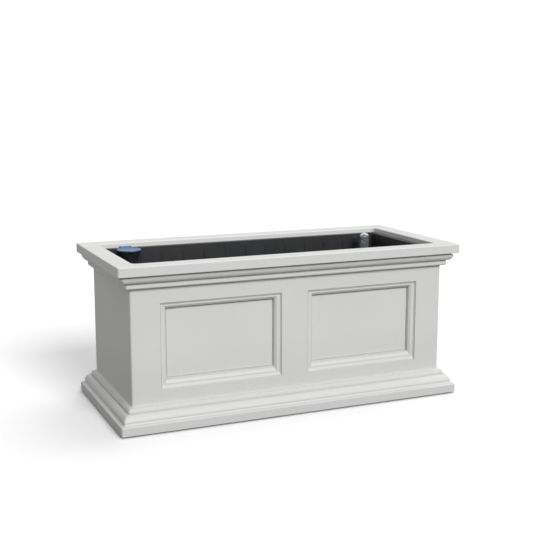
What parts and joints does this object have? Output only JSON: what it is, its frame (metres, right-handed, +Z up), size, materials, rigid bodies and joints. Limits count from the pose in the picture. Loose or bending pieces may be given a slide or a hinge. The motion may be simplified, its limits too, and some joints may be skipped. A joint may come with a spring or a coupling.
{
  "type": "self-watering window box",
  "caption": "Rectangular panelled planter box with moulded crown and base, a lift-out planting tub over a water reservoir, a capped fill tube, level gauge, overflow and drain.",
  "frame": {"origin": "on the floor, under the middle of the box", "axes": "+X along the length, +Z up; the front, seen with its two framed panels in the picture, faces -Y"},
  "size_m": [0.9144, 0.4208, 0.403],
  "materials": {
    "shell": "rotomoulded polyethylene, light grey-white, fine satin texture",
    "tub": "black moulded polypropylene",
    "deck": "dark grey recycled polypropylene",
    "basket": "black moulded polypropylene",
    "tube": "extruded grey PVC",
    "fitting": "black glass-filled nylon",
    "cap": "blue polypropylene",
    "window": "clear acrylic",
    "float": "closed-cell foam, natural",
    "marker": "red polystyrene",
    "seal": "red silicone",
    "gasket": "black EPDM sheet",
    "foot": "black moulded rubber",
    "steel": "stainless steel"
  },
  "bodies": {
    "shell": {"outer_shell": "shell", "foot_front_left": "foot", "foot_front_right": "foot", "foot_rear_left": "foot", "foot_rear_right": "foot", "foot_screws": "steel", "overflow_fitting": "fitting", "overflow_gasket": "gasket", "overflow_nut": "fitting", "overflow_screen": "tube", "drain_bushing": "fitting", "drain_locknut": "fitting"},
    "drain_seal": {"plug_seal": "seal"},
    "drain_plug": {"drain_plug": "tube"},
    "tub": {"inner_tub": "tub", "soil_deck": "deck", "wick_basket_left": "basket", "wick_basket_middle": "basket", "wick_basket_right": "basket", "fill_tube": "tube", "fill_funnel": "fitting", "fill_tube_clip": "fitting", "cap_hinge_pin": "steel", "level_tube": "tube", "level_tube_clip": "fitting", "level_bezel": "fitting", "level_window": "window", "clip_screws": "steel"},
    "cap": {"fill_cap": "cap"},
    "float": {"level_float": "float", "float_rod": "steel", "level_marker": "marker"}
  },
  "joints": [
    {"name": "tub_lift", "type": "slide", "parent": "shell", "child": "tub", "axis": [0, 0, 1], "range_m": [0, 0.4]},
    {"name": "cap_hinge", "type": "hinge", "parent": "tub", "child": "cap", "pos_m": [-0.345, 0.1369, 0.3935], "axis": [-1, 0, 0], "range_deg": [0, 110]},
    {"name": "float_rise", "type": "slide", "parent": "tub", "child": "float", "axis": [0, 0, 1], "range_m": [0, 0.052]},
    {"name": "plug_advance", "type": "slide", "parent": "shell", "child": "drain_seal", "axis": [0, 1, 0], "range_m": [0, 0.012]},
    {"name": "plug_turn", "type": "hinge", "parent": "drain_seal", "child": "drain_plug", "pos_m": [0.17, 0.1869, 0.024], "axis": [0, 1, 0], "range_deg": [0, 1440]}
  ],
  "couplings": [
    {"joint": "plug_advance", "follows": "plug_turn", "m_per_rad": 0.00047746}
  ]
}
